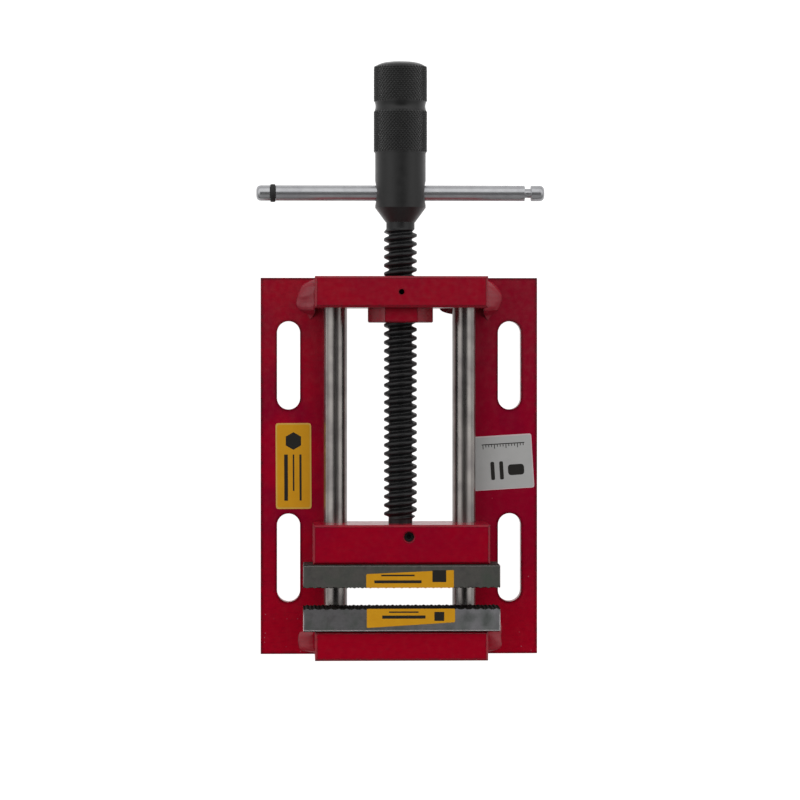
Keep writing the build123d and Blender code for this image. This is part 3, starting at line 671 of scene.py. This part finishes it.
def knurl_surface(start, end):
    """One knurled band of the hub: a diamond lattice of small blunt pyramids round it, which
    follows the crown of the hub's end where it comes to it."""
    diamond_length = 2.0
    around = 46
    rows = 2 * round((end - start) / diamond_length) - 1
    half_length = (end - start) / (rows + 1)
    foot = KNURL_RADIUS - KNURL_DEPTH
    sizes = {
        "Start": mm(start + half_length), "Row step": mm(half_length), "Rows": rows,
        "Around": around, "Foot radius": mm(foot), "Height": mm(KNURL_DEPTH),
        "Half width": mm(foot * math.tan(math.pi / around)), "Screw height": mm(SCREW_Z),
        "Crown from": mm(HUB_END - CROWN_LENGTH), "Crown length": mm(CROWN_LENGTH - END_DOME),
        "Crown depth": mm(CROWN_DEPTH), "Finish": handled_oxide,
    }
    tree, given = new_form("Knurl", sizes)
    count = add(tree, "ShaderNodeMath", {
        0: given["Rows"], 1: given["Around"],
    }, operation="MULTIPLY")
    points = add(tree, "GeometryNodeMeshLine", {"Count": count})
    number = add(tree, "GeometryNodeInputIndex")
    row_share = add(tree, "ShaderNodeMath", {0: number, 1: given["Around"]}, operation="DIVIDE")
    row = add(tree, "ShaderNodeMath", {0: row_share}, operation="FLOOR")
    along = add(tree, "ShaderNodeMath", {
        0: row, 1: given["Row step"], 2: given["Start"],
    }, operation="MULTIPLY_ADD")
    # On the crown the radius falls as a quarter ellipse does
    onto_crown = add(tree, "ShaderNodeMapRange", {
        "Value": along, "From Min": given["Crown from"],
        "From Max": add(tree, "ShaderNodeMath", {0: given["Crown from"], 1: given["Crown length"]}),
    })
    squared = add(tree, "ShaderNodeMath", {0: onto_crown, 1: 2.0}, operation="POWER")
    rest = add(tree, "ShaderNodeMath", {0: 1.0, 1: squared}, operation="SUBTRACT")
    root = add(tree, "ShaderNodeMath", {0: rest}, operation="SQRT")
    full_foot = add(tree, "ShaderNodeMath", {
        0: given["Foot radius"], 1: given["Crown depth"],
    }, operation="SUBTRACT")
    foot_radius = add(tree, "ShaderNodeMath", {
        0: root, 1: given["Crown depth"], 2: full_foot,
    }, operation="MULTIPLY_ADD")
    # Each row starts half a diamond further round than the one before
    stagger = add(tree, "ShaderNodeMath", {0: row, 1: 0.5, 2: number}, operation="MULTIPLY_ADD")
    turn_share = add(tree, "ShaderNodeMath", {0: stagger, 1: given["Around"]}, operation="DIVIDE")
    angle = add(tree, "ShaderNodeMath", {0: turn_share, 1: math.tau}, operation="MULTIPLY")
    sine = add(tree, "ShaderNodeMath", {0: angle}, operation="SINE")
    cosine = add(tree, "ShaderNodeMath", {0: angle}, operation="COSINE")
    across = add(tree, "ShaderNodeMath", {0: sine, 1: foot_radius}, operation="MULTIPLY")
    minus_across = add(tree, "ShaderNodeMath", {0: across, 1: -1.0}, operation="MULTIPLY")
    height = add(tree, "ShaderNodeMath", {
        0: cosine, 1: foot_radius, 2: given["Screw height"],
    }, operation="MULTIPLY_ADD")
    foot_place = add(tree, "ShaderNodeCombineXYZ", {"X": along, "Y": minus_across, "Z": height})
    placed = add(tree, "GeometryNodeSetPosition", {"Geometry": points, "Position": foot_place})
    pyramid = add(tree, "GeometryNodeMeshCone", {
        "Vertices": 4, "Radius Top": 0.2, "Radius Bottom": 1.0, "Depth": 1.0,
    })
    lean = add(tree, "ShaderNodeCombineXYZ", {"X": angle})
    size = add(tree, "ShaderNodeCombineXYZ", {
        "X": given["Row step"], "Y": given["Half width"], "Z": given["Height"],
    })
    knobs = add(tree, "GeometryNodeInstanceOnPoints", {
        "Points": placed, "Instance": pyramid, "Rotation": lean, "Scale": size,
    })
    return grown(tree, knobs, sizes, given)


def join_into(shape, *meshes):
    """Adds meshes to a bmesh."""
    for mesh in meshes:
        shape.from_mesh(mesh)
        bpy.data.meshes.remove(mesh)


# Painted solids keep their shape, and their arrises are rolled as thick paint rolls them
painted = {
    "base_flange_left": (flange_enamel, 0.3), "base_flange_right": (flange_enamel, 0.3),
    "rear_crossbar": (block_enamel, 0.35), "fixed_jaw_block": (block_enamel, 0.35),
    "moving_jaw_block": (block_enamel, 0.35), "lead_nut": (block_enamel, 0.35),
}
for name, (enamel, roll_width) in painted.items():
    solid = nodes[name]
    coat(solid.data, enamel)
    weld = solid.modifiers.new("Whole skin", "WELD")
    weld.merge_threshold = mm(0.002)
    flat_faces = solid.modifiers.new("Whole faces", "DECIMATE")
    flat_faces.decimate_type = "DISSOLVE"
    flat_faces.angle_limit = math.radians(1)
    roll_edges(solid, roll_width, 32)

# Bare solids keep their shape as well
bare = {
    "fixed_jaw_plate": fixed_steel, "moving_jaw_plate": moving_steel, "screw_retainer": oxide,
    "fixed_plate_screw_left": oxide, "fixed_plate_screw_right": oxide,
    "moving_plate_screw_left": oxide, "moving_plate_screw_right": oxide,
}
for name, metal in bare.items():
    coat(nodes[name].data, metal)

# Guide rods, ground bright, their ends chamfered
for name in ("guide_rod_left", "guide_rod_right"):
    low, high = (corner * 1000 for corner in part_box(name))
    rod_radius = (high.y - low.y) / 2
    rod_y = (high.y + low.y) / 2
    rod_z = (high.z + low.z) / 2
    rod = turned(
        name + "_ground",
        [
            (low.x, 0), (low.x, rod_radius - ROD_CHAMFER), (low.x + ROD_CHAMFER, rod_radius),
            (high.x - ROD_CHAMFER, rod_radius), (high.x, rod_radius - ROD_CHAMFER), (high.x, 0),
        ],
        lambda along, radius, angle: mm(
            along, rod_y + radius * math.cos(angle), rod_z + radius * math.sin(angle)
        ),
    )
    as_piece(
        name + "_ground", rounded_edges(rod, 0.12), "base", rod_steel, (name,)
    )

# Lead screw: spigot with its groove, thread, neck, and tenon with the bar's hole through it
screw_shape = bmesh.new()
turn(
    screw_shape,
    [
        (SPIGOT_START, 0), (SPIGOT_START, SPIGOT_RADIUS - SHAFT_CHAMFER),
        (SPIGOT_START + SHAFT_CHAMFER, SPIGOT_RADIUS), (GROOVE_START, SPIGOT_RADIUS),
        (GROOVE_START, GROOVE_RADIUS), (GROOVE_END, GROOVE_RADIUS),
        (GROOVE_END, SPIGOT_RADIUS), (THREAD_START, SPIGOT_RADIUS),
    ],
    about_screw,
)
join_into(screw_shape, thread_surface())
turn(
    screw_shape,
    [
        (THREAD_END, NECK_RADIUS), (HUB_X, NECK_RADIUS), (HUB_X, TENON_RADIUS),
        (TENON_END - SHAFT_CHAMFER, TENON_RADIUS), (TENON_END, TENON_RADIUS - SHAFT_CHAMFER),
        (TENON_END, 0),
    ],
    about_screw,
)
drill_reach = 20.0
drill_side = [(-drill_reach, BAR_HOLE), (drill_reach, BAR_HOLE)]
bar_drill = turned("drill", [(-drill_reach, 0), *drill_side, (drill_reach, 0)], about_bar)
screw_mesh = cut_out(closed(screw_shape, "lead_screw_cut"), bar_drill)
screw_mesh.shade_smooth()
screw_mesh.set_sharp_from_angle(angle=math.radians(50))
as_piece("lead_screw_cut", screw_mesh, "screw", oxide, ("lead_screw",))

# Handle hub: cone, plain barrel, two knurled bands with a waist between them, and a crowned end
knurl_core = KNURL_RADIUS - KNURL_DEPTH
crown = []
crown_step = 9.5
for step in range(10):
    lean = math.radians(crown_step * step)
    crown.append((
        HUB_END - CROWN_LENGTH + (CROWN_LENGTH - END_DOME) * math.sin(lean),
        knurl_core - CROWN_DEPTH * (1 - math.cos(lean)),
    ))
hub_profile = [
    (SOCKET_END, 0), (SOCKET_END, SOCKET_RADIUS), (HUB_X, SOCKET_RADIUS), (HUB_X, 7.5),
    (131.0, BARREL_RADIUS), (159.1, BARREL_RADIUS), (159.2, knurl_core), (180.7, knurl_core),
    (181.3, 13.1), (182.2, 12.88), (183.1, 12.8), (184.0, 12.88), (184.9, 13.1),
    (185.5, knurl_core), *crown, (HUB_END - 0.1, 3.0), (HUB_END, 0),
]
# The bar's hole opens in a countersink at each side
mouth_slope = math.tan(math.radians(60))
mouth_radius = 6.5
mouth_over = 1.4
mouth_floor = BARREL_RADIUS - (mouth_radius - BAR_HOLE) / mouth_slope
mouth_side = [
    (BARREL_RADIUS + mouth_over, 0),
    (BARREL_RADIUS + mouth_over, mouth_radius + mouth_over * mouth_slope),
    (BARREL_RADIUS, mouth_radius), (mouth_floor, BAR_HOLE),
]
mouth_drill = turned(
    "mouth drill",
    [(-along, radius) for along, radius in mouth_side] + list(reversed(mouth_side)),
    about_bar,
)
hub_plain = turned("hub body", hub_profile, about_screw)
hub_body = rounded_edges(cut_out(hub_plain, mouth_drill), 0.2, 28)
hub_whole = bmesh.new()
join_into(hub_whole, hub_body, knurl_surface(159.4, 180.9), knurl_surface(185.3, 203.9))
hub_mesh = to_mesh(hub_whole, "handle_hub_knurled")
as_piece("handle_hub_knurled", hub_mesh, "screw", handled_oxide, ("handle_hub",))

# Tommy bar with domed ends and a groove near each, and the rubber ring in the left groove
bar_end = [(71.7, BAR_RADIUS), (72.7, 3.8), (73.4, 3.3), (73.85, 2.5), (74.0, 1.5), (74.0, 0)]


def bar_groove(near, far):
    """The sides and floor of a square groove in the bar."""
    return [
        (near, BAR_RADIUS), (near, BAR_GROOVE_RADIUS), (far, BAR_GROOVE_RADIUS),
        (far, BAR_RADIUS),
    ]


right_half = [(-along, radius) for along, radius in reversed(bar_groove(63.9, 67.1) + bar_end)]
bar_profile = right_half + bar_groove(64.05, 66.95) + bar_end
bar_mesh = rounded_edges(turned("tommy_bar_plated", bar_profile, about_bar), 0.2, 35)
as_piece("tommy_bar_plated", bar_mesh, "bar", zinc, ("tommy_bar",))

# The ring is a flat-sided band with a rolled outside
ring_section = [
    (64.1, 2.42), (64.1, 3.9), (64.25, 4.35), (64.6, 4.58), (65.5, 4.62), (66.4, 4.58),
    (66.75, 4.35), (66.9, 3.9), (66.9, 2.42), (64.1, 2.42),
]
ring_mesh = turned("stop_ring", ring_section, about_bar)
as_piece("stop_ring", ring_mesh, "bar", rubber, ("tommy_bar_ring",))


def laid_bead(node, out_y, out_z, seed, squat, tail=0.0, lumps=0.1, grain=0.24, blunt=3.0):
    """A hand-laid fillet weld in the place of its solid: a bead with ripples and lumps, squatter
    than its solid, thick paint over it, and a low tail where the rod was drawn off and outwards.
    Lumps is their height as a share of the bead's, grain how many come to a millimetre, and blunt
    how square its ends are."""
    station_step = 0.35
    arc_steps = 14
    sunk_in = 0.4
    ripple_length = 2.6
    ripple_bend = 1.4
    tail_drift = 2.2
    bulge = 1.6
    low, high = (corner * 1000 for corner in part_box(node))
    corner_y = low.y if out_y > 0 else high.y
    corner_z = low.z if out_z > 0 else high.z
    leg_y = high.y - low.y
    leg_z = squat * (high.z - low.z)
    start = low.x - tail
    length = high.x - start
    stations = round(length / station_step)
    shape = bmesh.new()
    rings = []
    for station in range(stations + 1):
        share = station / stations
        x = start + share * length
        swell = max(0.0, 1 - abs(2 * share - 1) ** blunt) ** 0.75
        drawn = 0.0
        if tail:
            swell *= min(1.0, 0.25 + share * length / (tail + 4))
            drawn = max(0.0, (low.x + 0.4 - x) / (tail + 0.4))
        side_y = corner_y + out_y * tail_drift * drawn
        tail_height = 1 - 0.75 * math.sqrt(drawn)
        ring = [shape.verts.new(mm(x, side_y - out_y * sunk_in, corner_z - out_z * sunk_in))]
        for step in range(arc_steps + 1):
            lean = step / arc_steps
            along_y = math.cos(lean * math.pi / 2) ** bulge
            along_z = math.sin(lean * math.pi / 2) ** bulge
            bend = ripple_bend * math.sin(lean * math.pi)
            wave = 0.5 + 0.5 * math.cos(math.tau * (x + bend) / ripple_length)
            spot = Vector((x * grain, lean * grain * 9, seed * 7.3))
            lump = 1 + lumps * noise.noise(spot) + 0.12 * lumps * noise.noise(spot * 2.3)
            height = swell * (lump - 0.008 * wave * math.sin(lean * math.pi))
            out = max(0.0, leg_y * along_y * height) - (sunk_in if step == arc_steps else 0)
            up = max(0.0, leg_z * tail_height * along_z * height) - (sunk_in if step == 0 else 0)
            ring.append(shape.verts.new(mm(x, side_y + out_y * out, corner_z + out_z * up)))
        rings.append(ring)
    for near, far in zip(rings, rings[1:]):
        for step in range(len(near)):
            after = (step + 1) % len(near)
            shape.faces.new((near[step], far[step], far[after], near[after]))
    for end in (rings[0], rings[-1]):
        shape.faces.new(end)
    bead = closed(shape, node + "_bead")
    as_piece(node + "_bead", bead, "base", weld_enamel, (node,))


laid_bead("weld_rear_left", 1, 1, 1, tail=2.5, squat=0.6, lumps=0.14, grain=0.2)
laid_bead("weld_rear_right", -1, 1, 2, tail=3.0, squat=0.7, lumps=0.12, grain=0.16)
laid_bead("weld_front_left", 1, 1, 6, squat=0.34, lumps=0.1, grain=0.2, blunt=7.0)
laid_bead("weld_front_right", -1, 1, 4, squat=0.32, lumps=0.1, grain=0.2, blunt=7.0)
laid_bead("weld_inner_right", 1, -1, 5, squat=1.0)


def rounded_outline(corners, radius):
    """A convex outline with its corners rounded."""
    corner_steps = 5
    outline = []
    for number, corner in enumerate(corners):
        here = Vector(corner)
        to_last = (Vector(corners[number - 1]) - here).normalized()
        to_next = (Vector(corners[(number + 1) % len(corners)]) - here).normalized()
        for step in range(corner_steps + 1):
            share = step / corner_steps
            outline.append(here + radius * (to_last * (1 - share) ** 2 + to_next * share**2))
    return outline


def slab(shape, outline, bottom, top, lay):
    """Adds a thin slab to a bmesh; lay() puts a flat point where the film lies."""
    low = [shape.verts.new(mm(*lay(point), bottom)) for point in outline]
    high = [shape.verts.new(mm(*lay(point), top)) for point in outline]
    shape.faces.new(high)
    shape.faces.new(list(reversed(low)))
    for number in range(len(outline)):
        after = (number + 1) % len(outline)
        shape.faces.new((low[number], low[after], high[after], high[number]))


def films(levels, lay, body, layers):
    """Films and inks laid one on another between levels. Each layer is a name, the outlines of
    its thin slabs and a material, and makes one piece."""
    for (name, outlines, material), bottom, top in zip(layers, levels, levels[1:]):
        shape = bmesh.new()
        for outline in outlines:
            slab(shape, outline, bottom, top, lay)
        bmesh.ops.recalc_face_normals(shape, faces=shape.faces)
        as_piece(name, to_mesh(shape, name), body, material)


def strip(centre, length, width, radius=0.2):
    """A rounded strip's outline, long in its first direction."""
    across, up = length / 2, width / 2
    corners = [
        (centre[0] - across, centre[1] - up), (centre[0] + across, centre[1] - up),
        (centre[0] + across, centre[1] + up), (centre[0] - across, centre[1] + up),
    ]
    return rounded_outline(corners, min(radius, across, up))


def laid_at(centre, degrees):
    """Puts flat points round a centre, turned by an angle."""
    turning = Matrix.Rotation(math.radians(degrees), 2)
    return lambda point: turning @ Vector(point) + Vector(centre)


def as_laid(point):
    """A point that is already where it lies."""
    return point


# Yellow sticker on the left flange: a paler rim, which is the film's raw edge with a painted
# highlight, its field, a hexagon, and plain rules
hexagon_centre = 13.0
hexagon_radius = 4.6
hexagon = [
    (
        hexagon_centre + hexagon_radius * math.cos(math.radians(60 * side)),
        hexagon_radius * math.sin(math.radians(60 * side)),
    )
    for side in range(6)
]
rules = [
    strip((-6.0, 3.9), 24.0, 1.9), strip((-3.5, 0.0), 19.0, 0.8), strip((-6.0, -3.6), 24.0, 1.1),
]
films(STICKER_LEVELS, laid_at((-2.3, 54.9), 0.3), "base", [
    ("flange_sticker_rim", [strip((0, 0), 44.6, 18.5, 1.6)], yellow_rim),
    ("flange_sticker_field", [strip((0, 0), 43.0, 16.9, 1.2)], yellow_film),
    ("flange_sticker_print", [hexagon, *rules], black_ink),
])

# One yellow sticker across both jaw plates, slit where the jaws part, and its plain rules
moving_half = rounded_outline([(-62.7, -26.4), (-53.7, -26.4), (-55.7, 18.1), (-62.7, 18.1)], 0.7)
fixed_half = rounded_outline([(-80.2, -27.0), (-73.3, -27.0), (-73.3, 17.8), (-83.0, 17.8)], 0.7)
for body, name, outline in (("jaw", "moving", moving_half), ("base", "fixed", fixed_half)):
    films(PLATE_LEVELS, as_laid, body, [
        (name + "_plate_sticker", [outline], yellow_film),
    ])
moving_rules = [
    strip((6.0, 1.6), 24.0, 1.5), strip((6.0, -1.6), 17.0, 0.8), strip((-15.0, -1.2), 7.0, 6.0),
]
fixed_rules = [
    strip((3.0, 0.9), 22.0, 1.6), strip((3.0, -1.6), 15.0, 0.7), strip((-15.0, 0.6), 5.0, 4.6),
]
for body, name, centre, outlines in (
    ("jaw", "moving", (-58.0, -4.0), moving_rules), ("base", "fixed", (-76.6, -4.0), fixed_rules),
):
    films(PLATE_LEVELS[1:], laid_at(centre, 90), body, [
        (name + "_plate_print", outlines, black_ink),
    ])

# Grey label on the right flange, which goes on under the rod, with a plain scale and heavy rules
tick_root = 9.3
tick_top = 10.5
tick_step = 1.5
ticks = []
for number in range(15):
    tick_length = 1.1 if number % 4 else 2.0
    tick_centre = (tick_root - tick_length / 2, tick_top - tick_step * number)
    ticks.append(strip(tick_centre, tick_length, 0.42, 0.1))
scale_line = strip((9.6, 0.0), 0.5, 22.4)
heavy = [
    strip((-4.2, 6.2), 9.5, 2.0, 0.8), strip((-4.2, 1.6), 9.5, 2.0, 0.8),
    strip((-4.2, -6.0), 5.6, 8.4, 1.8),
]
# The label's paler rim is the film's raw edge, with a painted highlight
films(LABEL_LEVELS, laid_at((-0.4, -54.7), 3.5), "base", [
    ("flange_label_rim", [strip((0, 1.6), 28.2, 33.2, 1.2)], grey_rim),
    ("flange_label_face", [strip((-0.1, 1.75), 27.0, 32.4, 0.9)], grey_film),
    ("flange_label_print", [scale_line, *ticks, *heavy], black_ink),
])

# Light table under the vise
bpy.ops.mesh.primitive_circle_add(
    vertices=ROUND_STEPS, radius=mm(360), fill_type="NGON", location=mm(50, 0, -0.3)
)
table = bpy.context.object
table.name = "light_table"
table.data.materials.append(light_table())

# Soft boxes stand all round, dimmer at the jaws' end. None is straight overhead, in a gap that
# reaches further across the vise than along it
world = bpy.data.worlds.new("Studio")
bpy.context.scene.world = world
world.use_nodes = True
sky = world.node_tree
sky.nodes.clear()
look = add(sky, "ShaderNodeTexCoord").outputs["Generated"]
toward = add(sky, "ShaderNodeSeparateXYZ", {0: look})
gap_centre = (-0.09, -0.04, 0.0)
gap_reach = (0.44, 0.58, 1.0)
box_strength = 1.25
from_gap = add(sky, "ShaderNodeVectorMath", {0: look, 1: gap_centre}, operation="SUBTRACT")
flat = add(sky, "ShaderNodeVectorMath", {0: from_gap, 1: (1.0, 1.0, 0.0)}, operation="MULTIPLY")
shares = add(sky, "ShaderNodeVectorMath", {0: flat, 1: gap_reach}, operation="DIVIDE")
off_gap = add(sky, "ShaderNodeVectorMath", {0: shares}, operation="LENGTH")
overhead = add(sky, "ShaderNodeMapRange", {
    "Value": off_gap, "From Min": 0.6, "From Max": 1.15, "To Min": 0.015, "To Max": 1.0,
}, interpolation_type="SMOOTHSTEP")
rise = add(sky, "ShaderNodeMapRange", {
    "Value": toward.outputs["Z"], "From Min": 0.1, "From Max": 0.5, "To Min": 0.5, "To Max": 1.0,
}, interpolation_type="SMOOTHSTEP")
handle_end = add(sky, "ShaderNodeMapRange", {
    "Value": toward.outputs["X"], "From Min": -0.6, "From Max": 0.2, "To Min": 0.26, "To Max": 1.0,
}, interpolation_type="SMOOTHSTEP")
soft = add(sky, "ShaderNodeMath", {0: overhead, 1: rise}, operation="MULTIPLY")
boxes = add(sky, "ShaderNodeMath", {0: soft, 1: handle_end}, operation="MULTIPLY")
strength = add(sky, "ShaderNodeMath", {0: boxes, 1: box_strength}, operation="MULTIPLY")
light = add(sky, "ShaderNodeBackground", {"Color": linear("#FFFFFF"), "Strength": strength})
backdrop = add(sky, "ShaderNodeBackground", {"Color": linear("#FFFFFF"), "Strength": 1.0})
seen = add(sky, "ShaderNodeLightPath").outputs["Is Camera Ray"]
mixed = add(sky, "ShaderNodeMixShader", {0: seen, 1: light, 2: backdrop})
add(sky, "ShaderNodeOutputWorld", {"Surface": mixed})
bpy.context.scene.view_settings.view_transform = "Standard"

# Camera above on a copy stand, a little to the left and turned to the vise, its frame slid a
# little towards the jaws
camera_side = mm(55)
camera_height = mm(1650)
photo_pixels = 800
camera_data = bpy.data.cameras.new("copy stand camera")
camera_data.lens = 142.1
camera_data.sensor_width = 36.0
camera_data.shift_x = 1.4 / photo_pixels
camera_data.shift_y = -43 / photo_pixels
camera = bpy.data.objects.new("copy stand camera", camera_data)
camera.location = (mm(54.35), camera_side, camera_height)
camera.rotation_euler = (0, -math.atan2(camera_side, camera_height), -math.pi / 2)
bpy.context.scene.collection.objects.link(camera)
bpy.context.scene.camera = camera
